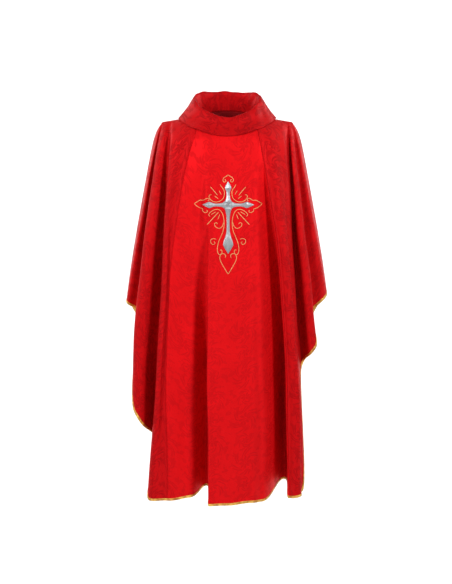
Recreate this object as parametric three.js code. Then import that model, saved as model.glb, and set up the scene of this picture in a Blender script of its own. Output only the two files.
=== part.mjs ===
// A full chasuble in damask, hanging as it does on the wearer's shoulders.
// Millimetres, +Z up, the front faces -Y. The origin is the middle of the shoulder line.
import * as THREE from 'three';

// Driving dimensions, in millimetres.
const CLOTH = 1.2;                        // thickness of the damask
const GAP = 0.4;                          // clearance between two layers
const SHOULDER_TIP = { x: 214, z: -13 };  // where the cloth leaves the shoulder and follows the arm
const NECK_SIDE = { x: 92, z: 8 };        // where the neckline crosses the shoulder seam
const NECK_FRONT_Z = -30;                 // lowest point of the neckline
const NECK_BACK_Z = 22;                   // the neckline at the nape
const NAPE_RISE = 40;                     // how far the nape stands above the shoulder line
const SHOULDER_ROUND = 80;                // radius over which the cloth rolls off the shoulder
const ARM_START = 22.5;                   // how far the upper arm pushes the cloth out
const ARM_SPREAD = 0.2;                   // further spread of the arm for each millimetre of drop
const ARM_REACH = 760;                    // drop at which the arm line turns vertical
const ARM_CURVE = 25;                     // drop over which the cloth rounds over the upper arm
const BODY_SQUARENESS = 2.6;              // power of the form's section, and of the neckline's curve
const FOLD_GROWTH = 2.2;                  // how fast a fold deepens below its start
const BINDING = 7.5;                      // visible width of the gold hem binding
const BINDING_CLOTH = 0.5;                // thickness of the satin
const BINDING_EASE = 1.4;                 // clearance between the satin and the cloth it wraps
const COLLAR_CLOTH = 1.4;
const INTERLINING = 0.8;
const COLLAR_ROLL = 6;                    // radius of the rolled upper edge of the collar
const COLLAR_RIM = { x: 110, y: 71 };     // half width and half depth of the collar's upper edge
const COLLAR_RIM_Z = 46;                  // height of the upper edge, half way from front to back
const COLLAR_FRONT_DIP = 39;              // how far the upper edge drops at the front, and rises behind
const COLLAR_SIDE_RISE = 23;              // how far it rises at the sides
const COLLAR_CENTRE_Y = -13;              // the neck stands this far in front of the shoulder seams
const COLLAR_SPREAD = 163;                // half width of the collar's lower edge
const COLLAR_FALL = { front: 106, back: 80 };  // from the shoulder line to the lower edge, on the cloth
const COLLAR_LIFT = 9;                    // how far the lower edge stands off the body of the garment
const NECK_SEAM_X = 0.955;                // half width of the neck seam, as a share of the neckline's
const NECK_SEAM_INSET = 8;                // how far the neck seam stands inside the neckline
const COLLAR_STATIONS = 32;               // facets round the collar
const BODY_ROWS = 11;                     // facets from the shoulder to the hem
const TAPE_HALF_WIDTH = 8;                // of the tape under each shoulder seam
const TAPE_SPAN = [97, 140, 184];         // where it starts, its middle and where it ends
const EMBROIDERY_CENTRE = { x: 3, z: -274 };
const EMBROIDERY_LIFT = 1.5;              // clearance between the stitches and the cloth
const STITCH_EDGE = 0.5;                  // thickness of the satin stitch at the edge of an arm
const ARM_WAIST = 0.42;                   // narrowest width of an arm, as a share of its lobe
const LOBE_PLACE = 0.74;                  // how far out along an arm its lobe is widest
const LOBE_SPREAD = 0.24;
const BOSS_RADIUS = 6.2;
const BOSS_HEIGHT = 1.6;
const ARM_ROOT = 7.5;                     // the arms start this far from the middle of the cross
const CORD = { halfWidth: 1.1, height: 0.9 };

const DAMASK_RED = 0xc4101c;
const GOLD_SATIN = 0xd9a52e;
const SILVER_THREAD = 0xa9adb2;
const GOLD_THREAD = 0xd99a3c;
const TAPE_RED = 0x8f0d16;
const INTERLINING_WHITE = 0xe9e4da;

// A fold line runs from the shoulder or neckline down to the hem. Between two of them the cloth bends
// smoothly. Push is how far the line is drawn in from the form at the hem (a valley is large, a ridge
// is near zero), start is the share of the drop at which the fold begins, and bow is how soon the line
// moves out sideways.
function line(name, topX, hemX, hemZ, push, start, bow) {
  return { name, topX, hemX, hemZ, push, start, bow };
}

const FRONT = {
  sign: -1,
  seams: ['seam_left', 'seam_right'],
  lines: [
    line('arm_left', -214, -350, -620, 0, 0, 1),
    line('side_valley_left', -207, -304, -655, 62, 0.02, 1),
    line('side_ridge_left', -200, -316, -990, -2, 0.02, 1.7),
    line('deep_valley_left', -186, -247, -1112, 105, 0, 1),
    line('outer_ridge_left', -170, -263, -1292, 2, 0, 0.9),
    line('seam_left', -82, -206, -1292, 22, 0, 4),
    line('column_left', -56, -132, -1287, 54, 0.1, 3),
    line('centre_valley_left', -50, -72, -1270, 130, 0.25, 6),
    line('centre_ridge_left', -45, -62, -1289, -12, 0.25, 6),
    line('centre', 0, 5, -1284, -16, 0.1, 1),
    line('centre_ridge_right', 54, 80, -1278, -8, 0.1, 1.6),
    line('centre_edge_right', 70, 118, -1281, 6, 0.1, 2),
    line('centre_valley_right', 82, 203, -1257, 134, 0.12, 2.4),
    line('seam_right', 86, 210, -1276, 6, 0.05, 2.4),
    line('column_right', 120, 240, -1270, -12, 0.05, 2),
    line('outer_ridge_right', 176, 262, -1262, 16, 0, 1),
    line('deep_valley_right', 196, 254, -838, 74, 0, 1),
    line('side_ridge_right', 203, 298, -765, 4, 0, 1),
    line('side_valley_right', 209, 284, -655, 50, 0.02, 1),
    line('arm_right', 214, 346, -592, 0, 0, 1),
  ],
};

const BACK = {
  sign: 1,
  seams: ['seam_left', 'seam_right'],
  lines: [
    line('arm_left', -214, -350, -620, 0, 0, 1),
    line('side_valley_left', -207, -300, -700, 60, 0.02, 1),
    line('side_ridge_left', -199, -308, -960, 0, 0.02, 1.8),
    line('deep_valley_left', -186, -258, -1120, 100, 0, 1),
    line('outer_ridge_left', -168, -262, -1296, 10, 0, 1.5),
    line('seam_left', -80, -190, -1302, -4, 0, 3),
    line('valley_left', -60, -128, -1292, 92, 0.2, 1.6),
    line('centre_ridge_left', -40, -100, -1306, -10, 0.2, 1.6),
    line('centre', 10, -8, -1310, 10, 0.1, 1),
    line('centre_valley', 24, 30, -1300, 78, 0.3, 1),
    line('centre_ridge_right', 40, 66, -1308, -10, 0.25, 1.6),
    line('column_right', 62, 128, -1304, -6, 0.1, 2),
    line('valley_right', 74, 162, -1290, 100, 0.12, 2.4),
    line('seam_right', 84, 196, -1300, 0, 0.05, 3.4),
    line('outer_ridge_right', 168, 250, -1290, 14, 0, 1.7),
    line('deep_valley_right', 190, 246, -900, 96, 0, 1),
    line('side_ridge_right', 200, 292, -800, 0, 0, 1),
    line('side_valley_right', 208, 292, -690, 55, 0.02, 1),
    line('arm_right', 214, 346, -592, 0, 0, 1),
  ],
};

// ---------- the draped form ----------

const smooth = (t) => t * t * (3 - 2 * t);

/** Half width of the hanging cloth at the height z, on the arm line. */
function armX(z) {
  const drop = Math.max(SHOULDER_TIP.z - z, 0);
  const spread = drop / (1 + (drop / ARM_REACH) ** 4) ** 0.25;
  return SHOULDER_TIP.x + ARM_START * (1 - Math.exp(-drop / ARM_CURVE)) + ARM_SPREAD * spread;
}

/** Height of the shoulder line at x, carried on over the neck opening. */
function ridgeZ(x, side) {
  const out = Math.abs(x) - NECK_SIDE.x;
  const slope = (NECK_SIDE.z - SHOULDER_TIP.z) / (SHOULDER_TIP.x - NECK_SIDE.x);
  if (out >= 0) return NECK_SIDE.z - out * slope;
  const nape = side === BACK ? NAPE_RISE : 0;
  return NECK_SIDE.z + nape * (1 - (x / NECK_SIDE.x) ** 2);
}

/** Height of the cloth's upper edge at x: the neckline, or the shoulder line beside it. */
function topZ(x, side) {
  const out = Math.abs(x) / NECK_SIDE.x;
  if (out >= 1) return ridgeZ(x, side);
  const lowest = side === FRONT ? NECK_FRONT_Z : NECK_BACK_Z;
  return lowest + (NECK_SIDE.z - lowest) * out ** BODY_SQUARENESS;
}

/** Distance of the unfolded cloth from the plane of the shoulder seams. */
function formDepth(x, z, rise, side) {
  const out = Math.min(Math.abs(x) / armX(z), 1);
  const chest = NECK_SIDE.z - z;
  const upperBack = Math.max(chest + 30, 0);
  const bulk = side === FRONT
    ? 92 + 42 * (1 - Math.exp(-chest / 120)) + 0.049 * chest
    : 98 + 24 * (1 - Math.exp(-upperBack / 140)) + 0.022 * upperBack;
  return bulk * Math.sqrt(Math.max(1 - out ** BODY_SQUARENESS, 0)) * rise;
}

/** Height, and share of the full depth, at a drop measured along the cloth from the shoulder line. */
function overShoulder(peak, drop) {
  const quarter = SHOULDER_ROUND * Math.PI / 2;
  if (drop >= quarter) return { z: peak - SHOULDER_ROUND - (drop - quarter), rise: 1 };
  const turn = drop / SHOULDER_ROUND;
  return { z: peak - SHOULDER_ROUND * (1 - Math.cos(turn)), rise: Math.sin(turn) };
}

/** The drop along the cloth at which a column that starts at topX begins and ends. */
function columnSpan(topX, hemZ, side) {
  const peak = ridgeZ(topX, side);
  const start = SHOULDER_ROUND * Math.acos(1 - (peak - topZ(topX, side)) / SHOULDER_ROUND);
  const end = SHOULDER_ROUND * (Math.PI / 2 - 1) + peak - hemZ;
  return { peak, start, end };
}

function hermite(a, b, tangentA, tangentB, s) {
  const s2 = s * s;
  const s3 = s2 * s;
  return a * (2 * s3 - 3 * s2 + 1) + b * (3 * s2 - 2 * s3)
    + tangentA * (s3 - 2 * s2 + s) + tangentB * (s3 - s2);
}

/** Hem heights between the fold lines, without overshooting any of them. */
function hemHeight(lines, k, s) {
  const slope = (i) => {
    const a = lines[i];
    const b = lines[i + 1];
    return (b.hemZ - a.hemZ) / Math.hypot(b.hemX - a.hemX, b.push - a.push);
  };
  const tangent = (i) => {
    if (i === 0) return slope(0);
    if (i === lines.length - 1) return slope(i - 1);
    const before = slope(i - 1);
    const after = slope(i);
    return before * after > 0 ? 2 * before * after / (before + after) : 0;
  };
  const a = lines[k];
  const b = lines[k + 1];
  const width = Math.hypot(b.hemX - a.hemX, b.push - a.push);
  return hermite(a.hemZ, b.hemZ, tangent(k) * width, tangent(k + 1) * width, s);
}

/** How much of a fold's depth is reached at the share v of the drop. */
function foldGrowth(v, start) {
  const run = Math.min(Math.max(v - start, 0) / (1 - start), 1);
  return 1 - (1 - run) ** FOLD_GROWTH;
}

/** The outer face of the cloth, between fold lines k and k + 1, at drop(start, end) down the column. */
function clothPoint(side, k, s, drop) {
  const a = side.lines[k];
  const b = side.lines[k + 1];
  const topX = THREE.MathUtils.lerp(a.topX, b.topX, s);
  const span = columnSpan(topX, hemHeight(side.lines, k, s), side);
  const along = drop(span.start, span.end);
  const v = (along - span.start) / (span.end - span.start);
  const { z, rise } = overShoulder(span.peak, along);
  const at = (l) => l.topX + (l.hemX - l.topX) * (1 - (1 - Math.min(v, 1)) ** l.bow);
  const push = THREE.MathUtils.lerp(
    a.push * foldGrowth(v, a.start), b.push * foldGrowth(v, b.start), smooth(s));
  let x = THREE.MathUtils.lerp(at(a), at(b), s);
  if (k === 0 && s === 0) x = -armX(z);
  if (k === side.lines.length - 2 && s === 1) x = armX(z);
  const depth = formDepth(x, z, rise, side) - push * rise;
  return new THREE.Vector3(x, side.sign * (depth + GAP / 2), z);
}

// ---------- closed sheets ----------

/**
 * A closed body between two grids of points, faces pointing out. Its facets are split along one
 * diagonal, and from the row named turned on along the other, as the facets of a layer folded back are.
 */
function sheetGeometry(outer, inner, turned = Infinity) {
  const columns = outer[0].length;
  const points = [...outer.flat(), ...inner.flat()];
  const below = outer.length * columns;
  const index = [];
  const quad = (a, b, c, d) => index.push(a, b, c, a, c, d);
  const wall = (a, b) => quad(a, b, below + b, below + a);
  const id = (i, j) => i * columns + j;
  const [lastRow, lastColumn] = [outer.length - 1, columns - 1];
  for (let i = 0; i < lastRow; i += 1) {
    for (let j = 0; j < lastColumn; j += 1) {
      const face = [id(i, j), id(i + 1, j), id(i + 1, j + 1), id(i, j + 1)];
      if (i >= turned) face.push(face.shift());
      const [a, b, c, d] = face;
      quad(a, b, c, d);
      quad(below + a, below + d, below + c, below + b);
    }
    wall(id(i + 1, 0), id(i, 0));
    wall(id(i, lastColumn), id(i + 1, lastColumn));
  }
  for (let j = 0; j < lastColumn; j += 1) {
    wall(id(0, j), id(0, j + 1));
    wall(id(lastRow, j + 1), id(lastRow, j));
  }
  if (volume(points, index) < 0) index.reverse();
  const geometry = new THREE.BufferGeometry().setFromPoints(points);
  geometry.setIndex(index);
  geometry.computeVertexNormals();
  return geometry;
}

function volume(points, index) {
  let sum = 0;
  for (let i = 0; i < index.length; i += 3) {
    const [a, b, c] = [points[index[i]], points[index[i + 1]], points[index[i + 2]]];
    sum += a.dot(new THREE.Vector3().crossVectors(b, c)) / 6;
  }
  return sum;
}

function material(color, roughness, metalness = 0) {
  return new THREE.MeshStandardMaterial({ color, roughness, metalness });
}

const damask = material(DAMASK_RED, 0.6);
const satin = material(GOLD_SATIN, 0.35);
const silver = material(SILVER_THREAD, 0.4, 0.3);
const gold = material(GOLD_THREAD, 0.4, 0.3);
const tape = material(TAPE_RED, 0.8);
const stiffener = material(INTERLINING_WHITE, 0.9);

const garment = new THREE.Group();

function add(name, geometry, itsMaterial) {
  const mesh = new THREE.Mesh(geometry, itsMaterial);
  mesh.name = name;
  garment.add(mesh);
  return mesh;
}

// ---------- the body of the garment ----------

/**
 * The shares of the interval between two fold lines at which the cloth has a column of facets. They
 * stand off the fold lines, which blunts the folds, but a seam and the arm line have their own column.
 */
function shares(side, k) {
  const edge = (i) => i === 0 || side.seams.includes(side.lines[i].name);
  if (edge(k)) return [0, 0.32, 0.8];
  if (edge(k + 1) || k === side.lines.length - 2) return [0.2, 0.68];
  return [0.2, 0.8];
}

/** How far up each column the binding reaches, so that it has its width square to a sloping hem. */
function bindingLengths(hem) {
  const slant = (a, b) => a.distanceTo(b) / Math.hypot(a.x - b.x, a.y - b.y);
  return hem.map((point, j) => BINDING * Math.max(
    j > 0 ? slant(point, hem[j - 1]) : 1, j < hem.length - 1 ? slant(point, hem[j + 1]) : 1));
}

/** Every row of points on the outer face. The last two rows are the binding's upper edge and the hem. */
function bodyGrid(side) {
  const columns = [];
  const seamColumns = {};
  for (let k = 0; k < side.lines.length - 1; k += 1) {
    if (side.seams.includes(side.lines[k].name)) seamColumns[side.lines[k].name] = columns.length;
    for (const s of shares(side, k)) columns.push({ k, s });
  }
  columns.push({ k: side.lines.length - 2, s: 1 });
  const row = (drop) => columns.map(({ k, s }, j) => (
    clothPoint(side, k, s, (start, end) => drop(start, end, j))));
  const hem = row((start, end) => end);
  const bound = bindingLengths(hem);
  const points = [];
  for (let i = 0; i <= BODY_ROWS; i += 1) {
    const v = (i / BODY_ROWS) ** 1.25;
    points.push(row((start, end, j) => start + (end - start - bound[j]) * v));
  }
  points.push(hem);
  const lastColumn = columns.length - 1;
  const inSeamPlane = (i, j) => (
    j === 0 || j === lastColumn || (i === 0 && Math.abs(points[i][j].x) >= NECK_SIDE.x));
  const normals = offsetDirections(points, -side.sign, inSeamPlane);
  normals[BODY_ROWS + 1] = normals[BODY_ROWS];
  return { side, points, normals, seamColumns };
}

/**
 * Directions in which the grid points move for an even offset: the mean of the facets round a point,
 * lengthened at a fold so that the offset facets stay parallel. Where flatten says so, a direction
 * keeps to the plane of the shoulder seams.
 */
function offsetDirections(points, sign, flatten) {
  const facets = points.map((row) => row.map(() => []));
  for (let i = 0; i < points.length - 1; i += 1) {
    for (let j = 0; j < points[0].length - 1; j += 1) {
      const corners = [[i, j], [i + 1, j], [i + 1, j + 1], [i, j + 1]];
      for (const [a, b, c] of [[0, 1, 2], [0, 2, 3]].map((three) => three.map((n) => corners[n]))) {
        const [p, q, r] = [a, b, c].map(([row, column]) => points[row][column]);
        const normal = new THREE.Triangle(p, q, r).getNormal(new THREE.Vector3());
        for (const [row, column] of [a, b, c]) facets[row][column].push(normal);
      }
    }
  }
  return facets.map((row, i) => row.map((normals, j) => {
    const mean = normals.reduce((sum, n) => sum.add(n), new THREE.Vector3());
    if (flatten(i, j)) mean.y = 0;
    mean.normalize();
    const spread = normals.reduce((sum, n) => sum + n.dot(mean), 0) / normals.length;
    return mean.multiplyScalar(sign / Math.max(spread, 0.5));
  }));
}

/** A block of the grid, moved outwards by a distance. */
function lifted(grid, rowRange, columnRange, distance) {
  const block = [];
  for (let i = rowRange[0]; i <= rowRange[1]; i += 1) {
    const row = [];
    for (let j = columnRange[0]; j <= columnRange[1]; j += 1) {
      row.push(grid.points[i][j].clone().addScaledVector(grid.normals[i][j], distance));
    }
    block.push(row);
  }
  return block;
}

/** Draws the first or last column of a block in, so that it stays clear of what it is sewn to. */
function trimmed(block, atStart, atEnd, distance) {
  return block.map((row) => row.map((point, j) => {
    const inward = j === 0 ? 1 : -1;
    const edge = (j === 0 && atStart) || (j === row.length - 1 && atEnd);
    if (!edge) return point;
    const step = new THREE.Vector3().subVectors(row[j + inward], point).setLength(distance);
    return point.clone().add(step);
  }));
}

function panel(name, grid, columnRange) {
  const rows = [0, BODY_ROWS + 1];
  const atStart = columnRange[0] > 0;
  const atEnd = columnRange[1] < grid.points[0].length - 1;
  const faces = [0, -CLOTH].map((distance) => (
    trimmed(lifted(grid, rows, columnRange, distance), atStart, atEnd, GAP)));
  return add(name, sheetGeometry(faces[0], faces[1]), damask);
}

function panels(name, grid) {
  const left = grid.seamColumns.seam_left;
  const right = grid.seamColumns.seam_right;
  panel(`${name}_left_panel`, grid, [0, left]);
  const centre = panel(`${name}_centre_panel`, grid, [left, right]);
  panel(`${name}_right_panel`, grid, [right, grid.points[0].length - 1]);
  return centre;
}

/** Draws the first and last row of a block in along the drop. */
function shortened(block, distance) {
  const last = block.length - 1;
  return block.map((row, i) => row.map((point, j) => {
    if (i > 0 && i < last) return point;
    const next = i === 0 ? block[1][j] : block[last - 1][j];
    return point.clone().add(new THREE.Vector3().subVectors(next, point).setLength(distance));
  }));
}

/** A layer of cloth on the inside of the panels, over a block of the grid. */
function insideLayer(name, grid, rows, columns, thickness, color) {
  const faces = [0, thickness].map((depth) => (
    shortened(lifted(grid, rows, columns, -CLOTH - GAP - depth), 4 * GAP)));
  add(name, sheetGeometry(faces[0], faces[1]), color);
}

/** The pressed-open allowances of the panel seams, and those of the arm seams at both sides. */
function seamAllowances(name, grid) {
  const rows = [1, BODY_ROWS];
  const lastColumn = grid.points[0].length - 1;
  const spans = {
    seam_allowance_left: [grid.seamColumns.seam_left - 1, grid.seamColumns.seam_left + 1],
    seam_allowance_right: [grid.seamColumns.seam_right - 1, grid.seamColumns.seam_right + 1],
    arm_allowance_left: [0, 1],
    arm_allowance_right: [lastColumn - 1, lastColumn],
  };
  for (const [place, columns] of Object.entries(spans)) {
    insideLayer(`${name}_${place}`, grid, rows, columns, CLOTH, tape);
  }
}

/** The satin strip that wraps the hem: down the outside, round the raw edge and up the inside. */
function hemBinding(name, grid) {
  const columns = [0, grid.points[0].length - 1];
  const hem = BODY_ROWS + 1;
  const wrap = (clearance) => {
    const leg = (distance) => {
      const [upper, lower] = lifted(grid, [BODY_ROWS, hem], columns, distance);
      const reach = clearance / BINDING;
      return [upper, lower.map((point, j) => upper[j].clone().lerp(point, 1 + reach))];
    };
    const [outsideUpper, outsideLower] = leg(clearance);
    const [insideUpper, insideLower] = leg(-CLOTH - clearance);
    return [outsideUpper, outsideLower, insideLower, insideUpper];
  };
  const insideLeg = 2;
  add(name, sheetGeometry(wrap(BINDING_EASE + BINDING_CLOTH), wrap(BINDING_EASE), insideLeg), satin);
}

/** A tape under the shoulder seam, from the neckline to the shoulder tip. */
function shoulderTape(name, direction) {
  const clearance = 1;
  const section = (x) => [-TAPE_HALF_WIDTH, 0, TAPE_HALF_WIDTH].map((y) => (
    new THREE.Vector3(direction * x, y, ridgeZ(x, FRONT) - CLOTH - clearance - Math.abs(y) / 2)));
  const outer = TAPE_SPAN.map(section);
  const inner = outer.map((row) => row.map((p) => p.clone().setZ(p.z - CLOTH)));
  add(name, sheetGeometry(outer, inner), tape);
}

// ---------- the collar ----------

/** A point of the unfolded body, at a drop along the cloth from the shoulder line, lifted off it. */
function bodyPoint(side, x, drop, lift) {
  const { z, rise } = overShoulder(ridgeZ(x, side), drop);
  const y = side.sign * formDepth(x, z, rise, side);
  const out = new THREE.Vector3(0, side.sign * rise, Math.sqrt(1 - rise * rise));
  return new THREE.Vector3(x, y, z).addScaledVector(out, lift);
}

/** The collar's section at an angle round the neck: from the neck seam up, over the roll and down. */
function collarSection(angle) {
  const toFront = Math.cos(angle);
  const toSide = Math.sin(angle);
  const side = toFront >= 0 ? FRONT : BACK;
  const fallLength = toFront >= 0 ? COLLAR_FALL.front : COLLAR_FALL.back;
  const radial = new THREE.Vector3(toSide, -toFront, 0);
  const down = (distance) => new THREE.Vector3(0, 0, -distance);
  const neckX = NECK_SIDE.x * NECK_SEAM_X * toSide;
  const neckline = bodyPoint(side, neckX, columnSpan(neckX, 0, side).start, 0)
    .addScaledVector(radial, -NECK_SEAM_INSET);
  const rim = new THREE.Vector3(
    COLLAR_RIM.x * toSide,
    COLLAR_CENTRE_Y - COLLAR_RIM.y * toFront,
    COLLAR_RIM_Z - COLLAR_FRONT_DIP * toFront + COLLAR_SIDE_RISE * toSide ** 2);
  const edge = bodyPoint(side, COLLAR_SPREAD * toSide, fallLength * Math.abs(toFront), COLLAR_LIFT);
  const innerRoll = rim.clone().addScaledVector(radial, -COLLAR_ROLL).add(down(COLLAR_ROLL));
  const outerRoll = rim.clone().addScaledVector(radial, COLLAR_ROLL).add(down(COLLAR_ROLL));
  const fall = outerRoll.clone().lerp(edge, 0.5).addScaledVector(radial, -2).add(down(1));
  const inside = neckline.clone().lerp(innerRoll, 0.5);
  return new THREE.CatmullRomCurve3(
    [neckline, inside, innerRoll, rim, outerRoll, fall, edge], false, 'centripetal');
}

/** The collar is cut double: a face that shows, a stiffener and an under-collar, parallel all round. */
function collar() {
  const backGap = 0.003;
  const along = [0, 0.17, 0.34, 0.42, 0.5, 0.58, 0.66, 0.83, 1];
  const angles = [];
  for (let i = 0; i <= COLLAR_STATIONS; i += 1) {
    angles.push((i / COLLAR_STATIONS - 0.5) * 2 * (Math.PI - backGap));
  }
  const curves = angles.map(collarSection);
  const spine = along.map((t) => curves.map((curve) => curve.getPoint(t)));
  const normals = offsetDirections(spine, -1, () => false);
  for (const row of normals) {
    row[0].x = 0;
    row[COLLAR_STATIONS].x = 0;
  }
  const face = (depth) => spine.map((row, i) => row.map((point, j) => (
    point.clone().addScaledVector(normals[i][j], depth))));
  let depth = 0;
  const layer = (name, thickness, color) => {
    add(name, sheetGeometry(face(depth), face(depth + thickness)), color);
    depth += thickness + GAP;
  };
  layer('collar_upper', COLLAR_CLOTH, damask);
  layer('collar_interlining', INTERLINING, stiffener);
  layer('collar_under', CLOTH, damask);
}

// ---------- the embroidery ----------

const caster = new THREE.Raycaster();

/** The place on the front panel in front of a point of the pattern, lifted off the cloth. */
function onCloth(front, pattern, lift) {
  const from = new THREE.Vector3(
    EMBROIDERY_CENTRE.x + pattern.x, -1000, EMBROIDERY_CENTRE.z + pattern.y);
  caster.set(from, new THREE.Vector3(0, 1, 0));
  const hit = caster.intersectObject(front)[0];
  return hit.point.clone().addScaledVector(new THREE.Vector3(0, -1, 0), EMBROIDERY_LIFT + lift);
}

/** A satin-stitched arm of the cross: two slopes that meet in a ridge along the middle. */
function crossArm(front, name, { angle, length, halfWidth, height }) {
  const stations = 9;
  const direction = new THREE.Vector2(Math.cos(angle), Math.sin(angle));
  const sideways = new THREE.Vector2(-direction.y, direction.x);
  const top = [];
  const bottom = [];
  for (let i = 0; i <= stations; i += 1) {
    const t = i / stations;
    const swell = Math.exp(-(((t - LOBE_PLACE) / LOBE_SPREAD) ** 2));
    const taper = t > LOBE_PLACE ? (1 - t) / (1 - LOBE_PLACE) : 1;
    const share = (ARM_WAIST + (1 - ARM_WAIST) * swell) * taper ** 0.8;
    const half = Math.max(halfWidth * share, 0.5);
    const middle = direction.clone().multiplyScalar(ARM_ROOT + (length - ARM_ROOT) * t);
    const across = [-half, 0, half].map((w) => middle.clone().addScaledVector(sideways, w));
    const heights = [STITCH_EDGE, STITCH_EDGE + height * half / halfWidth, STITCH_EDGE];
    top.push(across.map((p, j) => onCloth(front, p, heights[j])));
    bottom.push(across.map((p) => onCloth(front, p, 0)));
  }
  add(name, sheetGeometry(top, bottom), silver);
}

/** The small square boss where the four arms meet, standing on its corner. */
function crossBoss(front) {
  const corner = new THREE.Vector2(BOSS_RADIUS, 0);
  const corners = [0, 1, 2, 3].map((i) => (
    corner.clone().rotateAround(new THREE.Vector2(), i * Math.PI / 2)));
  const rows = (lift) => [[corners[2], corners[1]], [corners[3], corners[0]]].map(
    (row) => row.map((p) => onCloth(front, p, lift)));
  add('silver_cross_boss', sheetGeometry(rows(BOSS_HEIGHT), rows(0)), silver);
}

/** A couched gold cord laid along a smooth line through the given points of the pattern. */
function goldCord(front, name, points, steps) {
  const curve = new THREE.SplineCurve(points.map(([x, y]) => new THREE.Vector2(x, y)));
  const top = [];
  const bottom = [];
  for (let i = 0; i <= steps; i += 1) {
    const t = i / steps;
    const middle = curve.getPoint(t);
    const along = curve.getTangent(t);
    const sideways = new THREE.Vector2(-along.y, along.x);
    const across = [-CORD.halfWidth, CORD.halfWidth].map(
      (w) => middle.clone().addScaledVector(sideways, w));
    top.push(across.map((p) => onCloth(front, p, CORD.height)));
    bottom.push(across.map((p) => onCloth(front, p, 0)));
  }
  add(name, sheetGeometry(top, bottom), gold);
}

// The cords, in millimetres from the middle of the cross. Those of CORDS lie in mirrored pairs.
const CAPS = {
  upper: [[-16, 62], [-19, 72], [-11, 80], [0, 96], [11, 80], [19, 72], [16, 62]],
  side: [[66, 20], [80, 20], [96, 9], [113, 0], [96, -9], [80, -20], [66, -20]],
};
const CORDS = [
  { name: (word) => `gold_arc_upper_${word}`, steps: 10, points: [[17, 56], [25, 36], [36, 25], [56, 17]] },
  { name: (word) => `gold_ray_upper_${word}_high`, steps: 4, points: [[25, 45], [33, 60]] },
  { name: (word) => `gold_ray_upper_${word}_low`, steps: 4, points: [[45, 25], [60, 33]] },
  {
    name: (word) => `gold_arc_lower_${word}`,
    steps: 10,
    points: [[12, -58], [22, -36], [36, -24], [56, -15]],
  },
  { name: (word) => `gold_ray_lower_${word}_high`, steps: 4, points: [[47, -24], [62, -32]] },
  { name: (word) => `gold_ray_lower_${word}_low`, steps: 10, points: [[36, -31], [70, -64]] },
  {
    name: (word) => `gold_scroll_${word}`,
    steps: 24,
    points: [
      [38, -66], [31, -62], [22, -74], [22, -98], [40, -112], [49, -122], [46, -136], [34, -141],
      [27, -150],
    ],
  },
  {
    name: (word) => `gold_point_${word}`,
    steps: 16,
    points: [[18, -158], [33, -163], [31, -178], [12, -200], [2, -224]],
  },
];

function embroidery(front) {
  const quarter = Math.PI / 2;
  const sideArm = { length: 83, halfWidth: 9.5, height: 2.2 };
  crossArm(front, 'silver_arm_upper', { angle: quarter, length: 80, halfWidth: 10.5, height: 2.2 });
  crossArm(front, 'silver_arm_left', { angle: 2 * quarter, ...sideArm });
  crossArm(front, 'silver_arm_right', { angle: 0, ...sideArm });
  crossArm(front, 'silver_arm_lower', { angle: 3 * quarter, length: 156, halfWidth: 16, height: 2.6 });
  crossBoss(front);
  goldCord(front, 'gold_cap_upper', CAPS.upper, 20);
  for (const [word, way] of [['left', -1], ['right', 1]]) {
    const mirrored = (points) => points.map(([x, y]) => [way * x, y]);
    goldCord(front, `gold_cap_${word}`, mirrored(CAPS.side), 20);
    for (const cord of CORDS) goldCord(front, cord.name(word), mirrored(cord.points), cord.steps);
  }
}

// ---------- assembly ----------

const frontGrid = bodyGrid(FRONT);
const backGrid = bodyGrid(BACK);
const frontCentre = panels('front', frontGrid);
panels('back', backGrid);
for (const [name, grid] of [['front', frontGrid], ['back', backGrid]]) {
  seamAllowances(name, grid);
  const neck = [grid.seamColumns.seam_left, grid.seamColumns.seam_right];
  insideLayer(`${name}_neck_facing`, grid, [0, 1], neck, CLOTH, tape);
  hemBinding(`${name}_hem_binding`, grid);
}
shoulderTape('shoulder_tape_left', -1);
shoulderTape('shoulder_tape_right', 1);
collar();
frontCentre.updateMatrixWorld(true);
embroidery(frontCentre);

export default garment;
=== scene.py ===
"""A full red damask chasuble, hung from its shoulders: rolled collar, embroidered cross, gold hem."""
import math
from functools import partialmethod

import bmesh
import bpy
import numpy as np
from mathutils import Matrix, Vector
from mathutils.bvhtree import BVHTree


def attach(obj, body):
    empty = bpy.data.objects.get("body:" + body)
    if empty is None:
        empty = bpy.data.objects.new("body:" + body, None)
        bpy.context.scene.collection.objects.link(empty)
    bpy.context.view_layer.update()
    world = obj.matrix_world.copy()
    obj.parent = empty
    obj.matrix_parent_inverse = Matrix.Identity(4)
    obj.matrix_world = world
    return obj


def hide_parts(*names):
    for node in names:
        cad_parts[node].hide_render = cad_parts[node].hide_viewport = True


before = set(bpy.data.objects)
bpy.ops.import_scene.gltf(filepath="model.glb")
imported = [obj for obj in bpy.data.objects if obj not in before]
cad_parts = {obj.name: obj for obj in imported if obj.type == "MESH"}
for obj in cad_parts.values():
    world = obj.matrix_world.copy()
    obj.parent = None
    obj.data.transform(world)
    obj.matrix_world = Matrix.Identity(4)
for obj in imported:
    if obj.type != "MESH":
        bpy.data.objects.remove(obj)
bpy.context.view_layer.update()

# ---------- sizes, in millimetres unless a name says otherwise ----------

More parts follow.
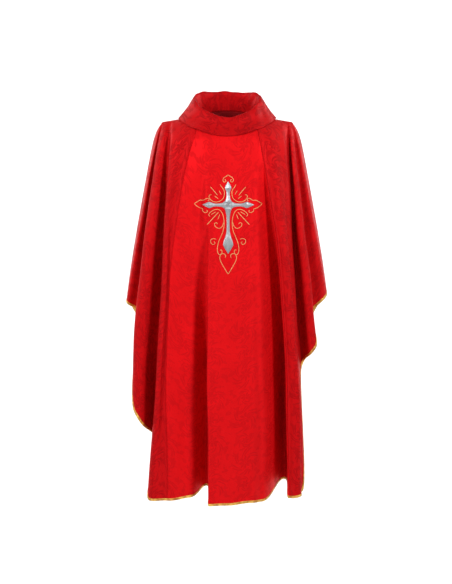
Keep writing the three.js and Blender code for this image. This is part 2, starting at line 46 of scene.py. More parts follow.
MM = 0.001
SHOULDER_TIP = (214.0, -13.0)  # x and z where the cloth leaves the shoulder and follows the arm
SHOULDER_ROUND = 80.0          # radius at which the cloth rolls over the shoulder line
ARM_STEP = 22.5                # how far the arm edge moves out just below the shoulder tip,
ARM_CURVE = 25.0               # the drop over which it does so,
ARM_SLOPE = 0.2                # how fast it moves out further down,
ARM_REACH = 760.0              # and the drop beyond which it hangs straight
NECK_SIDE = (92.0, 8.0)        # x and z where the neckline crosses the shoulder seam
NECK_Z = {"front": -30.0, "back": 22.0}
NECK_SQUARENESS = 2.6
NAPE_RISE = {"front": 0.0, "back": 40.0}
SIGN = {"front": -1.0, "back": 1.0}
BODY_SQUARENESS = 2.6          # 2 would make the body's section an ellipse
FACE_GAP = 0.2                 # the cloth's face stands this far off the folded form
FOLD_GROWTH = 2.2              # how early a fold reaches its depth on the way to the hem
STILL_FOLD = 18                # the folds at the arm, from this one on, don't waver
CLOTH = 0.9                    # thickness of the damask
INSIDE_CLOTH = 0.8             # thickness of an allowance or a facing
BODY_ROWS = 190
ROW_CROWDING = 1.15            # rows lie closer together near the top
COLUMN_STEP = 4.6
BINDING = 7.5                  # width of the gold strip
STITCH_INSET = 6.5             # from a lapped edge to its stitches
CROSS = (3.0, -274.0)          # x and z of the middle of the cross

# depth of the body at the shoulder, what the chest or the back adds, the drop over which it does,
# the slope below that, and how far above the side of the neck it begins
BULK = {
    "front": (92.0, 42.0, 120.0, 0.049, 0.0),
    "back": (98.0, 24.0, 140.0, 0.022, 30.0),
}

# how far a side panel's lapped edge stands proud of the centre panel
LAP = {"seam_left": 0.4, "seam_right": 1.7}

# the fold lines that bound each panel
EDGES = {
    "left_panel": ("arm_left", "seam_left"),
    "centre_panel": ("seam_left", "seam_right"),
    "right_panel": ("seam_right", "arm_right"),
}

# The lines of the folds, from the viewer's left to right: name, x at the shoulder or neckline, x and z
# at the hem, depth there behind the unfolded cloth (below 0, in front of it), the share of the drop
# where it begins, bow (above 1, it moves out early) and roundness.
FRONT_FOLDS = [
    ("arm_left", -214, -350, -620, 0, 0, 1, 10),
    ("side_valley_left", -207, -304, -655, 62, 0.02, 1, 5),
    ("side_ridge_left", -200, -316, -990, -2, 0.02, 1.7, 22),
    ("deep_valley_left", -186, -247, -1112, 105, 0, 1, 4),
    ("outer_ridge_left", -170, -263, -1292, 2, 0, 0.9, 18),
    ("seam_left", -82, -206, -1292, 22, 0, 4, 40),
    ("column_left", -56, -132, -1287, 54, 0.1, 3, 24),
    ("centre_valley_left", -50, -72, -1270, 130, 0.25, 6, 5),
    ("centre_ridge_left", -45, -62, -1289, -12, 0.25, 6, 1.5),
    ("centre", 0, 5, -1284, -16, 0.1, 1, 60),
    ("centre_ridge_right", 54, 80, -1278, -8, 0.1, 1.6, 40),
    ("centre_edge_right", 70, 118, -1281, 6, 0.1, 2, 14),
    ("centre_valley_right", 82, 203, -1257, 134, 0.12, 2.4, 8),
    ("seam_right", 86, 210, -1276, 6, 0.05, 2.4, 4),
    ("column_right", 120, 240, -1270, -12, 0.05, 2, 40),
    ("outer_ridge_right", 176, 262, -1262, 16, 0, 1, 12),
    ("deep_valley_right", 196, 254, -838, 74, 0, 1, 5),
    ("side_ridge_right", 203, 298, -765, 4, 0, 1, 16),
    ("side_valley_right", 209, 284, -655, 50, 0.02, 1, 5),
    ("arm_right", 214, 346, -592, 0, 0, 1, 10),
]
BACK_FOLDS = [
    ("arm_left", -214, -350, -620, 0, 0, 1, 10),
    ("side_valley_left", -207, -300, -700, 60, 0.02, 1, 9),
    ("side_ridge_left", -199, -308, -960, 0, 0.02, 1.8, 10),
    ("deep_valley_left", -186, -258, -1120, 100, 0, 1, 8),
    ("outer_ridge_left", -168, -262, -1296, 10, 0, 1.5, 14),
    ("seam_left", -80, -190, -1302, -4, 0, 3, 40),
    ("valley_left", -60, -128, -1292, 92, 0.2, 1.6, 10),
    ("centre_ridge_left", -40, -100, -1306, -10, 0.2, 1.6, 14),
    ("centre", 10, -8, -1310, 10, 0.1, 1, 60),
    ("centre_valley", 24, 30, -1300, 78, 0.3, 1, 10),
    ("centre_ridge_right", 40, 66, -1308, -10, 0.25, 1.6, 14),
    ("column_right", 62, 128, -1304, -6, 0.1, 2, 30),
    ("valley_right", 74, 162, -1290, 100, 0.12, 2.4, 10),
    ("seam_right", 84, 196, -1300, 0, 0.05, 3.4, 14),
    ("outer_ridge_right", 168, 250, -1290, 14, 0, 1.7, 16),
    ("deep_valley_right", 190, 246, -900, 96, 0, 1, 8),
    ("side_ridge_right", 200, 292, -800, 0, 0, 1, 9),
    ("side_valley_right", 208, 292, -690, 55, 0.02, 1, 9),
    ("arm_right", 214, 346, -592, 0, 0, 1, 10),
]
FOLDS = {"front": FRONT_FOLDS, "back": BACK_FOLDS}


# ---------- camera, floor and light ----------

CAMERA_PLACE = (-0.004, -3.4, 0.10)
LOOKS_DOWN = 11.5                  # degrees
SENSOR_HEIGHT = 24.0
LENS = 41.34


def add_object(name, data):
    made = bpy.data.objects.new(name, data)
    bpy.context.scene.collection.objects.link(made)
    return made


def camera():
    data = bpy.data.cameras.new("camera")
    data.sensor_fit = "VERTICAL"
    data.sensor_height = SENSOR_HEIGHT
    data.lens = LENS
    view = add_object("camera", data)
    view.location = CAMERA_PLACE
    view.rotation_euler = (math.radians(90 - LOOKS_DOWN), 0, 0)
    bpy.context.scene.camera = view


def studio_floor():
    """A pale floor that curves up into the wall behind."""
    front, wall, floor_z, bend, top = -4.5, 3.4, -2.2, 1.4, 3.6
    profile = [(front, floor_z)]
    steps = 16
    for i in range(steps + 1):
        turn = math.pi / 2 * i / steps
        profile.append((wall - bend + bend * math.sin(turn), floor_z + bend - bend * math.cos(turn)))
    profile.append((wall, top))
    points = [(x, y, z) for y, z in profile for x in (-6.0, 6.0)]
    faces = [(2 * i, 2 * i + 1, 2 * i + 3, 2 * i + 2) for i in range(len(profile) - 1)]
    mesh = bpy.data.meshes.new("studio_floor")
    mesh.from_pydata(points, [], faces)
    mesh.polygons.foreach_set("use_smooth", [True] * len(faces))
    paper = bpy.data.materials.new("studio_paper")
    paper.use_nodes = True
    shader = paper.node_tree.nodes["Principled BSDF"]
    shader.inputs["Base Color"].default_value = (0.93, 0.93, 0.93, 1)
    shader.inputs["Roughness"].default_value = 0.9
    mesh.materials.append(paper)
    add_object("studio_floor", mesh)


def area_light(name, location, target, size, watts):
    """A softbox of that width and height in metres, turned to the target."""
    data = bpy.data.lights.new(name, "AREA")
    data.shape = "RECTANGLE"
    data.size, data.size_y = size
    data.energy = watts
    lamp = add_object(name, data)
    lamp.location = location
    aim = Vector(target) - Vector(location)
    lamp.rotation_euler = aim.to_track_quat("-Z", "Y").to_euler()


def lights():
    world = bpy.data.worlds.new("studio")
    world.use_nodes = True
    background = world.node_tree.nodes["Background"]
    background.inputs["Color"].default_value = (1, 1, 1, 1)
    background.inputs["Strength"].default_value = 0.14
    bpy.context.scene.world = world
    area_light("softbox_left", (-2.0, -2.4, 0.9), (0, 0, -0.2), (0.6, 0.9), 72)
    area_light("softbox_right", (2.0, -2.4, 0.9), (0, 0, -0.2), (0.6, 0.9), 70)
    area_light("wall_left", (-2.6, 0.9, 1.2), (-0.8, 3.4, -0.9), (1.6, 1.6), 95)
    area_light("wall_right", (2.6, 0.9, 1.2), (0.8, 3.4, -0.9), (1.6, 1.6), 95)
    bpy.context.scene.view_settings.view_transform = "Standard"


# ---------- the draped form ----------

def arm_x(z):
    """How far out the arm edge of the cloth lies at a height."""
    drop = np.maximum(SHOULDER_TIP[1] - z, 0)
    spread = drop / (1 + (drop / ARM_REACH) ** 4) ** 0.25
    return SHOULDER_TIP[0] + ARM_STEP * (1 - np.exp(-drop / ARM_CURVE)) + ARM_SLOPE * spread


def ridge_z(x, side):
    """Height of the shoulder line at x, carried on over the neck opening."""
    out = np.abs(x) - NECK_SIDE[0]
    slope = (NECK_SIDE[1] - SHOULDER_TIP[1]) / (SHOULDER_TIP[0] - NECK_SIDE[0])
    nape = NECK_SIDE[1] + NAPE_RISE[side] * (1 - (x / NECK_SIDE[0]) ** 2)
    return np.where(out >= 0, NECK_SIDE[1] - out * slope, nape)


def top_z(x, side):
    """Height of the cloth's upper edge at x: the neckline, and the shoulder line beyond it."""
    out = np.abs(x) / NECK_SIDE[0]
    neckline = NECK_Z[side] + (NECK_SIDE[1] - NECK_Z[side]) * out ** NECK_SQUARENESS
    return np.where(out >= 1, ridge_z(x, side), neckline)


def form_depth(x, z, rise, side):
    """Distance of the unfolded cloth from the plane of the shoulder seams."""
    out = np.minimum(np.abs(x) / arm_x(z), 1)
    shoulder, swell, over, slope, above = BULK[side]
    drop = np.maximum(NECK_SIDE[1] - z + above, 0)
    bulk = shoulder + swell * (1 - np.exp(-drop / over)) + slope * drop
    return bulk * np.sqrt(np.maximum(1 - out ** BODY_SQUARENESS, 0)) * rise


def over_shoulder(peak, drop):
    """Height, and share of the full depth, at a drop along the cloth from the shoulder line."""
    quarter = SHOULDER_ROUND * math.pi / 2
    turn = np.minimum(drop / SHOULDER_ROUND, math.pi / 2)
    z = peak - SHOULDER_ROUND * (1 - np.cos(turn)) - np.maximum(drop - quarter, 0)
    return z, np.sin(turn)


def drop_at_top(x, side):
    """How far along the cloth its upper edge lies from the shoulder line."""
    return SHOULDER_ROUND * np.arccos(1 - (ridge_z(x, side) - top_z(x, side)) / SHOULDER_ROUND)


def hermite(a, b, ta, tb, s):
    """A cubic from a to b that leaves a at the slope ta and reaches b at the slope tb."""
    return (a * (2 * s**3 - 3 * s**2 + 1) + b * (3 * s**2 - 2 * s**3)
            + ta * (s**3 - 2 * s**2 + s) + tb * (s**3 - s**2))


def smooth_step(t):
    t = np.clip(t, 0, 1)
    return t * t * (3 - 2 * t)


def hem_slopes(folds):
    """Width of each interval at the hem, and the slope of the hem at each fold line."""
    widths = [math.hypot(b[2] - a[2], b[4] - a[4]) for a, b in zip(folds, folds[1:])]
    steps = [(b[3] - a[3]) / w for a, b, w in zip(folds, folds[1:], widths)]
    slopes = [steps[0]]
    for before, after in zip(steps, steps[1:]):
        slopes.append(2 * before * after / (before + after) if before * after > 0 else 0.0)
    return widths, slopes + [steps[-1]]


def wander(seed, v, size):
    """A slow, fixed wavering along a fold line, for cloth that doesn't fall quite straight."""
    return size * (np.sin(2 * math.pi * (1.3 * v + 0.37 * seed)) * 0.6
                   + np.sin(2 * math.pi * (3.1 * v + 0.71 * seed)) * 0.4) * np.minimum(v * 4, 1)


class Cloth:
    """The outer face of the front or back, as a grid: rows down the drop, columns across."""

    def __init__(self, side):
        self.side = side
        folds = FOLDS[side]
        widths, slopes = hem_slopes(folds)
        # each column lies in one interval between fold lines, at a share of the way across it
        interval, share = [], []
        self.column_of = {}
        for i, width in enumerate(widths):
            self.column_of[folds[i][0]] = len(interval)
            count = max(6, round(width / COLUMN_STEP))
            interval += [i] * count
            share += [j / count for j in range(count)]
        last = len(widths) - 1
        self.column_of[folds[-1][0]] = len(interval)
        interval.append(last)
        share.append(1.0)
        interval, share = np.array(interval), np.array(share)
        table = np.array([fold[1:] for fold in folds], float)
        a, b = table[interval], table[interval + 1]
        width, slope = np.array(widths)[interval], np.array(slopes)
        leaves, arrives = slope[interval] * width, slope[interval + 1] * width
        hem_z = hermite(a[:, 2], b[:, 2], leaves, arrives, share)
        top_x = a[:, 0] + (b[:, 0] - a[:, 0]) * share
        peak, start = ridge_z(top_x, side), drop_at_top(top_x, side)
        end = SHOULDER_ROUND * (math.pi / 2 - 1) + peak - hem_z
        blend = smooth_step(share)
        rows = []
        for v in (np.arange(BODY_ROWS + 1) / BODY_ROWS) ** ROW_CROWDING:
            x_a, depth_a, round_a = self.fold_at(a, v, interval)
            x_b, depth_b, round_b = self.fold_at(b, v, interval + 1)
            apart, deeper = x_b - x_a, np.abs(depth_b - depth_a)
            leaves = np.maximum(apart, np.sqrt(6 * round_a * deeper * (interval > 0)))
            arrives = np.maximum(apart, np.sqrt(6 * round_b * deeper * (interval < last)))
            x = hermite(x_a, x_b, leaves, arrives, share)
            z, rise = over_shoulder(peak, start + (end - start) * v)
            x[0], x[-1] = -arm_x(z[0]), arm_x(z[-1])
            y = form_depth(x, z, rise, side) - (depth_a + (depth_b - depth_a) * blend) * rise
            rows.append(np.stack([x, SIGN[side] * (y + FACE_GAP), z], 1))
        self.points = np.array(rows)
        self.soften()
        self.normals = grid_normals(self.points) * -SIGN[side]
        self.across = running_length(self.points, 1)
        self.down = running_length(self.points, 0)

    @staticmethod
    def fold_at(rows, v, number):
        """The x, depth and roundness of fold lines at a share of the drop."""
        top, hem, _, push, start, bow, roundness = rows.T
        run = np.clip((v - start) / (1 - start), 0, 1)
        wavers = (number > 0) & (number < STILL_FOLD)
        x = top + (hem - top) * (1 - (1 - v) ** bow) + wavers * wander(number, v, 3.2)
        depth = push * (1 - (1 - run) ** FOLD_GROWTH) * (1 + wavers * wander(number + 5, v, 0.07))
        return x, depth, roundness

    def soften(self):
        """Shallow ripples between the folds, deepest towards the hem."""
        x, y, z = self.points[..., 0], self.points[..., 1], self.points[..., 2]
        fall = np.clip((-z - 60) / 900, 0, 1)
        ripple = (np.sin(x / 13.0 + 1.1 * np.sin(z / 210.0)) * 0.9
                  + np.sin(x / 29.0 - z / 330.0 + 2.0) * 2.2
                  + np.sin(x / 61.0 + z / 95.0 + 0.7) * 0.8)
        arm = 1 - np.clip(np.abs(x) / arm_x(z), 0, 1) ** 8
        chest = np.clip(-z / 90, 0, 1)
        self.points[..., 1] = y + SIGN[self.side] * ripple * (0.25 + 0.75 * fall) * arm * chest

    def block(self, first, last, lift):
        """Columns first to last of the grid, moved outwards by lift, in millimetres."""
        part = slice(first, last + 1)
        return self.points[:, part] + self.normals[:, part] * lift[..., None]


def grid_normals(points):
    normals = np.cross(np.gradient(points, axis=0), np.gradient(points, axis=1))
    return normals / np.maximum(np.linalg.norm(normals, axis=2, keepdims=True), 1e-9)


def unit(vectors):
    return vectors / np.linalg.norm(vectors, axis=-1, keepdims=True)


def sample(where, along, points):
    """The points of a line at one distance along it, or at several."""
    return np.stack([np.interp(where, along, points[:, n]) for n in range(points.shape[1])], -1)


def running_length(points, axis=0):
    """The length along a line of points, or along each row or column of a grid, from its start."""
    steps = np.linalg.norm(np.diff(points, axis=axis), axis=-1)
    start = np.zeros_like(np.take(steps, [0], axis=axis))
    return np.concatenate([start, np.cumsum(steps, axis)], axis)


# ---------- meshes ----------

def piece(name, vertices, faces, material, uvs):
    """A mesh object from points in millimetres, which rides on the one body.

    uvs is one pair for each vertex, in metres of cloth.
    """
    mesh = bpy.data.meshes.new(name)
    mesh.from_pydata((np.asarray(vertices) * MM).tolist(), [], faces)
    mesh.polygons.foreach_set("use_smooth", [True] * len(mesh.polygons))
    layer = mesh.uv_layers.new(name="cloth")
    loops = np.empty(len(mesh.loops), np.int64)
    mesh.loops.foreach_get("vertex_index", loops)
    layer.data.foreach_set("uv", np.asarray(uvs, np.float32)[loops].ravel())
    mesh.materials.append(material)
    made = add_object(name, mesh)
    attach(made, "root")
    return made


def grid_faces(rows, columns, start=0, turned=False):
    i, j = np.meshgrid(np.arange(rows - 1), np.arange(columns - 1), indexing="ij")
    a = start + i * columns + j
    quads = np.stack([a, a + columns, a + columns + 1, a + 1], -1).reshape(-1, 4)
    return quads[:, ::-1] if turned else quads


def shell(name, outer, inner, material, uv):
    """A closed thin shell between two grids, with its rim, as a mesh object."""
    outer, inner, uv = np.asarray(outer), np.asarray(inner), np.asarray(uv)
    rows, columns = outer.shape[:2]
    count = rows * columns
    faces = [grid_faces(rows, columns), grid_faces(rows, columns, count, True)]
    index = np.arange(count).reshape(rows, columns)
    rim = np.concatenate([index[0, 1:][::-1], index[:-1, 0], index[-1, :-1], index[1:, -1][::-1]])
    following = np.roll(rim, -1)
    faces.append(np.stack([following, rim, rim + count, following + count], 1))
    quads = np.concatenate(faces)
    points = np.concatenate([outer.reshape(-1, 3), inner.reshape(-1, 3)])
    uvs = np.concatenate([uv.reshape(-1, 2)] * 2)
    return outward(piece(name, points, quads.tolist(), material, uvs))


def tube(name, sections, material, uvs, ring=False):
    """A closed body from a list of closed sections, with flat ends unless it is a ring."""
    sections = np.asarray(sections)
    count, around = sections.shape[:2]
    i, j = np.meshgrid(np.arange(count if ring else count - 1), np.arange(around), indexing="ij")
    nxt, side = (i + 1) % count, (j + 1) % around
    quads = np.stack([i * around + j, nxt * around + j, nxt * around + side, i * around + side], -1)
    faces = quads.reshape(-1, 4).tolist()
    if not ring:
        faces.append(list(range(around)))
        faces.append(list(range((count - 1) * around, count * around))[::-1])
    uvs = np.asarray(uvs).reshape(-1, 2)
    return outward(piece(name, sections.reshape(-1, 3), faces, material, uvs))


def outward(made):
    """Turns a closed mesh's faces out if they face in."""
    body = bmesh.new()
    body.from_mesh(made.data)
    if body.calc_volume(signed=True) < 0:
        made.data.flip_normals()
    body.free()
    return made


# ---------- materials ----------

class Value:
    """A number in a node tree: Python's arithmetic on it adds Math nodes."""

    def __init__(self, tree, socket):
        self.tree, self.socket = tree, socket

    def apply(self, operation, *others):
        node = self.tree.nodes.new("ShaderNodeMath")
        node.operation = operation
        for slot, item in enumerate((self, *others)):
            if isinstance(item, Value):
                self.tree.links.new(item.socket, node.inputs[slot])
            else:
                node.inputs[slot].default_value = item
        return Value(self.tree, node.outputs[0])

    def __rsub__(self, other):
        return (self * -1) + other

    __add__ = partialmethod(apply, "ADD")
    __sub__ = partialmethod(apply, "SUBTRACT")
    __mul__ = partialmethod(apply, "MULTIPLY")
    __truediv__ = partialmethod(apply, "DIVIDE")
    __pow__ = partialmethod(apply, "POWER")
    sin = partialmethod(apply, "SINE")
    cos = partialmethod(apply, "COSINE")
    abs = partialmethod(apply, "ABSOLUTE")
    floor = partialmethod(apply, "FLOOR")
    fraction = partialmethod(apply, "FRACT")
    log = partialmethod(apply, "LOGARITHM", math.e)
    angle = partialmethod(apply, "ARCTAN2")
    most = partialmethod(apply, "MAXIMUM")
    least = partialmethod(apply, "MINIMUM")

    def ramp(self, low, high):
        """0 below low, 1 above high, smooth between."""
        node = self.tree.nodes.new("ShaderNodeMapRange")
        node.interpolation_type = "SMOOTHSTEP"
        self.tree.links.new(self.socket, node.inputs["Value"])
        node.inputs["From Min"].default_value = low
        node.inputs["From Max"].default_value = high
        return Value(self.tree, node.outputs["Result"])


class Surface:
    """A node material, with its cloth coordinates in metres as x and y."""

    def __init__(self, name, colour, roughness, **sockets):
        self.material = bpy.data.materials.new(name)
        self.material.use_nodes = True
        self.tree = self.material.node_tree
        self.link = self.tree.links.new
        self.shader = self.tree.nodes["Principled BSDF"]
        self.shader.inputs["Base Color"].default_value = (*colour, 1)
        self.shader.inputs["Roughness"].default_value = roughness
        for socket, value in sockets.items():
            self.shader.inputs[socket.replace("_", " ")].default_value = value
        coordinates = self.tree.nodes.new("ShaderNodeTexCoord")
        split = self.tree.nodes.new("ShaderNodeSeparateXYZ")
        self.link(coordinates.outputs["UV"], split.inputs[0])
        self.uv = coordinates.outputs["UV"]
        self.x, self.y = (Value(self.tree, split.outputs[n]) for n in (0, 1))

    def noise(self, scale, detail):
        node = self.tree.nodes.new("ShaderNodeTexNoise")
        node.inputs["Scale"].default_value = scale
        node.inputs["Detail"].default_value = detail
        self.link(self.uv, node.inputs["Vector"])
        return Value(self.tree, node.outputs["Fac"])

    def mix(self, factor, low, high):
        """A colour from low to high: each is three numbers, or another mix's colour."""
        node = self.tree.nodes.new("ShaderNodeMix")
        node.data_type = "RGBA"
        self.link(factor.socket, node.inputs["Factor"])
        for slot, colour in ((6, low), (7, high)):
            if isinstance(colour, tuple):
                node.inputs[slot].default_value = (*colour, 1)
            else:
                self.link(colour, node.inputs[slot])
        return node.outputs[2]

    def set(self, socket, value):
        """Drives one of the shader's sockets by a value or a mixed colour."""
        source = value.socket if isinstance(value, Value) else value
        self.link(source, self.shader.inputs[socket])

    def bump(self, height, distance_mm, strength):
        node = self.tree.nodes.new("ShaderNodeBump")
        node.inputs["Distance"].default_value = distance_mm * MM
        node.inputs["Strength"].default_value = strength
        self.link(height.socket, node.inputs["Height"])
        self.link(node.outputs[0], self.shader.inputs["Normal"])


def rosette(x, y, petals, size, curl_way):
    """A flower with veined petals and an open heart, ringed by curling leaves: 1 in the figure.

    x and y are metres of cloth from its middle. The radii below are of a flower whose size is 1.
    """
    radius = (x * x + y * y) ** 0.5 / size
    turn = y.angle(x)
    lobes = (turn * petals).cos()
    flower = ((radius - lobes * 0.0042 - 0.0175) * -1).ramp(-0.0009, 0.0009)
    veins = (lobes * -1).ramp(0.55, 0.95) * (radius - 0.006).ramp(0.0, 0.002)
    heart = (radius * -1).ramp(-0.0054, -0.0042)
    eye = (radius * -1).ramp(-0.0030, -0.0022)
    flower = flower * (1 - veins) * (1 - heart) + eye
    sweep = (turn * (petals - 2) + radius.log() * (6.0 * curl_way)).sin()
    ring = (radius - 0.0235).ramp(-0.001, 0.001) * ((radius * -1) + 0.045).ramp(-0.005, 0.005)
    leaves = sweep.ramp(-0.10, 0.20) * ring * (1 - sweep.ramp(0.80, 0.92) * 0.8)
    return flower.most(leaves)


def damask_figure(surface):
    """1 in the matt figure, 0 in the satin ground: rosettes in a half-drop repeat, sprays and specks."""
    width, height = 0.112, 0.150
    waver = (surface.noise(22, 2) - 0.5) * 0.014
    x = (surface.x + waver) / width
    y = (surface.y + waver) / height
    half_drop = x.floor() * 0.5
    from_column = (x.fraction() - 0.5) * width
    from_large = ((y + half_drop).fraction() - 0.5) * height
    from_small = ((y + half_drop + 0.5).fraction() - 0.5) * height
    large = rosette(from_column, from_large, 8, 1.0, 1)
    small = rosette(from_column, from_small, 6, 0.62, -1)
    sprays = surface.noise(48, 3).ramp(0.53, 0.58) * 0.7
    specks = surface.noise(170, 2).ramp(0.58, 0.66) * 0.4
    return large.most(small).most(sprays).most(specks).least(1.0)


THREADS_PER_CM = 11                # coarser than real damask, so that the threads show at all
STRANDS_PER_MM = 2.2               # strands of embroidery or sewing thread, side by side


def weave(surface):
    """Warp and weft threads as a height from 0 to 1."""
    pitch = 0.01 / THREADS_PER_CM
    warp = (surface.x * (math.pi / pitch)).sin().abs()
    weft = (surface.y * (math.pi / pitch)).sin().abs()
    return warp * 0.6 + weft * 0.4


def damask(name, painted_light_level, contrast, shine):
    """Damask whose red is scaled as a whole by a painted brightness: a darker copy paints the shade a
    part sits in.
    """

    # shade scales each colour by the painted brightness, which is painted shade for a part that sits in
    # shade
    def shade(*colour):
        return tuple(channel * painted_light_level for channel in colour)

    surface = Surface(name, shade(0.6, 0.002, 0.005), 0.5, Specular_IOR_Level=0.22,
                      Specular_Tint=(1.0, 0.10, 0.12, 1))
    figure = damask_figure(surface)
    patch = surface.noise(9, 4)
    satin = surface.mix(patch, shade(0.62, 0.0055, 0.0075), shade(0.80, 0.0070, 0.010))
    matt = surface.mix(patch, shade(0.38, 0.0032, 0.005), shade(0.52, 0.0042, 0.007))
    surface.set("Base Color", surface.mix(figure * contrast, satin, matt))
    surface.set("Roughness", figure * 0.12 + patch * 0.08 + 0.46)
    surface.set("Metallic", shine - figure * (shine * 0.5))
    threads = weave(surface)
    slub = surface.noise(38, 4)
    surface.bump(figure * 0.45 + threads * (figure * 0.35 + 0.3) + slub * 1.6, 0.25, 0.55)
    return surface.material


def wrong_side():
    """The back of the damask, duller and with the figure softened."""
    surface = Surface("damask_wrong_side", (0.33, 0.002, 0.005), 0.8, Sheen_Weight=0.1,
                      Sheen_Tint=(1.0, 0.12, 0.12, 1), Specular_IOR_Level=0.2)
    figure = damask_figure(surface)
    patch = surface.noise(12, 3)
    shade = figure * 0.5 + patch * 0.3
    surface.set("Base Color", surface.mix(shade, (0.27, 0.002, 0.005), (0.42, 0.003, 0.007)))
    surface.bump(weave(surface), 0.2, 0.5)
    return surface.material


def satin_binding():
    """Gold satin, cut on the slant, a little creased, with painted light and dark patches for the sheen
    and shade on its creases.
    """
    surface = Surface("gold_satin", (0.78, 0.44, 0.06), 0.3, Metallic=0.35, Specular_IOR_Level=0.6)
    twill = ((surface.x + surface.y) * 4200).sin()
    patch = surface.noise(60, 3)
    # patches of painted highlight and painted shade on the gold
    painted_sheen_and_shade = patch.ramp(0.3, 0.7)
    surface.set("Base Color", surface.mix(painted_sheen_and_shade, (0.42, 0.15, 0.012), (0.95, 0.58, 0.10)))
    surface.set("Roughness", patch * 0.2 + 0.24)
    surface.bump(twill * 0.5 + surface.noise(120, 2) * 1.5, 0.2, 0.6)
    return surface.material


def thread(name, low, high, roughness, metallic):
    """Thread laid side by side along the cloth's x."""
    surface = Surface(name, low, roughness, Metallic=metallic, Specular_IOR_Level=0.4)
    strands = (surface.x * (math.pi * STRANDS_PER_MM * 1000)).sin().abs()
    patch = surface.noise(400, 2)
    # the colour is partly random tone and partly painted shade: darker in the grooves between strands,
    # lighter on their crests
    surface.set("Base Color", surface.mix(patch * 0.6 + strands * 0.4, low, high))
    surface.bump(strands, 0.18, 0.7)
    return surface.material


# ---------- the panels ----------

def lap(cloth, first, last, name):
    """How far a panel stands proud beside its seams: the side panels lap over the centre one."""
    part = slice(first, last + 1)
    lift = np.zeros_like(cloth.across[:, part])
    down = cloth.down[:, part]
    fade = smooth_step(down / 60) * smooth_step((down[-1] - down - 6) / 30)
    for seam, proud in LAP.items():
        column = cloth.column_of[seam]
        from_seam = np.abs(cloth.across[:, part] - cloth.across[:, column][:, None])
        if name == "centre_panel":
            dip = 0.18 * np.exp(-from_seam / 6)
            lift -= proud * dip * fade
        elif seam.split("_")[1] in name:
            swell = np.exp(-(from_seam / 14) ** 2)
            stitch = 0.4 * np.exp(-((from_seam - STITCH_INSET) / 1.3) ** 2)
            lift += proud * (swell - stitch) * fade
    return lift


def panel(cloth, name, material):
    """One panel as a closed thin body, and the grid of its outer face."""
    first, last = (cloth.column_of[edge] for edge in EDGES[name])
    lift = lap(cloth, first, last, name)
    outer = cloth.block(first, last, lift)
    inner = cloth.block(first, last, lift - CLOTH)
    middle = (first + last) // 2
    if name != "centre_panel":
        middle = last if name.startswith("left") else first
    part = slice(first, last + 1)
    u = cloth.across[:, part] - cloth.across[:, middle][:, None]
    v = -cloth.down[:, part]
    uv = np.stack([u, v], -1) * MM
    whole = f"{cloth.side}_{name}"
    made = shell(f"{whole}_cloth", outer, inner, material, uv)
    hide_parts(whole)
    return made, outer


# ---------- the gold hem binding ----------

def cloth_tree(points):
    rows, columns = points.shape[:2]
    return BVHTree.FromPolygons(points.reshape(-1, 3).tolist(), grid_faces(rows, columns).tolist())


# the binding's section: how far from the hem's edge, and how far off the cloth's face
BINDING_FACE = [
    (-BINDING, 0.10), (-BINDING + 0.3, 0.75), (-5.2, 1.15), (-2.6, 1.3), (-0.4, 1.15), (0.9, 0.45),
]


def hem_binding(cloth, material, stitch_material):
    """A satin strip down the outside, round the edge and up the inside, with its line of stitches."""
    tree = cloth_tree(cloth.points)
    hem = cloth.points[-1]
    tangents = unit(np.gradient(hem, axis=0))
    normals = smooth_rows(cloth.normals[-3], 2)
    downs = np.cross(normals, tangents)
    downs *= -np.sign(downs[:, 2:3])
    downs = smooth_rows(downs, 2)
    profile = BINDING_FACE + [(reach, -CLOTH - lift) for reach, lift in reversed(BINDING_FACE)]
    along = running_length(hem)
    girth = running_length(np.array(profile))
    stitch_line = -BINDING + 1.3
    sections, uvs, seam = [], [], []
    for point, down, normal, length in zip(hem, downs, normals, along):
        sections.append([on_sheet(tree, point, down, normal, reach, lift + pucker(length, reach))
                         for reach, lift in profile])
        uvs.append([(length * MM, g * MM) for g in girth])
        seam.append(on_sheet(tree, point, down, normal, stitch_line, 1.0))
    made = tube(f"{cloth.side}_binding_satin", sections, material, uvs)
    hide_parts(f"{cloth.side}_hem_binding")
    name = f"{cloth.side}_binding_stitches"
    return stitches(name, np.array(seam), normals, stitch_material, 2.6, 0.5)


def pucker(along, reach):
    """The satin swells and dips a little along its length, most in the middle of the strip."""
    if not -6.5 < reach < 0:
        return 0.0
    return 0.16 * math.sin(along / 2.1) * math.sin(along / 7.7)


def on_sheet(tree, point, down, normal, reach, lift):
    """A point off the cloth's face, at a reach from the hem's edge: beyond the edge it follows down."""
    if reach < -0.5:
        found, facing, _, _ = tree.find_nearest(Vector(point + down * reach))
        facing = np.array(facing)
        if facing @ normal < 0:
            facing = -facing
        facing = facing * 0.6 + normal * 0.4
        return np.array(found) + facing / np.linalg.norm(facing) * lift
    return point + down * reach + normal * lift


def smooth_rows(vectors, passes):
    """Unit vectors, each averaged with its neighbours."""
    for _ in range(passes):
        padded = np.concatenate([vectors[:1], vectors, vectors[-1:]])
        vectors = unit(padded[:-2] * 0.25 + padded[1:-1] * 0.5 + padded[2:] * 0.25)
    return vectors


def stitches(name, line, normals, material, pitch, width):
    """A row of short raised stitches along a line: each is a small six-point lozenge body."""
    along = running_length(line)
    lozenge = ((0, 1, 2), (0, 2, 3), (4, 2, 1), (4, 3, 2), (0, 5, 1), (0, 3, 5), (4, 1, 5), (4, 5, 3))
    points, faces, uvs = [], [], []
    for n in range(int(along[-1] / pitch)):
        a, b = sample((n + 0.14) * pitch, along, line), sample((n + 0.86) * pitch, along, line)
        up = sample((n + 0.5) * pitch, along, normals)
        across = np.cross(b - a, up)
        across = across / max(np.linalg.norm(across), 1e-6) * width / 2
        middle = (a + b) / 2
        base = len(points)
        points += [a - up * 0.25, middle - across, middle + up * 0.32, middle + across,
                   b - up * 0.25, middle - up * 0.3]
        faces += [[base + corner for corner in face] for face in lozenge]
        uvs += [(n * pitch * MM, 0.0)] * 6
    return piece(name, points, faces, material, uvs)


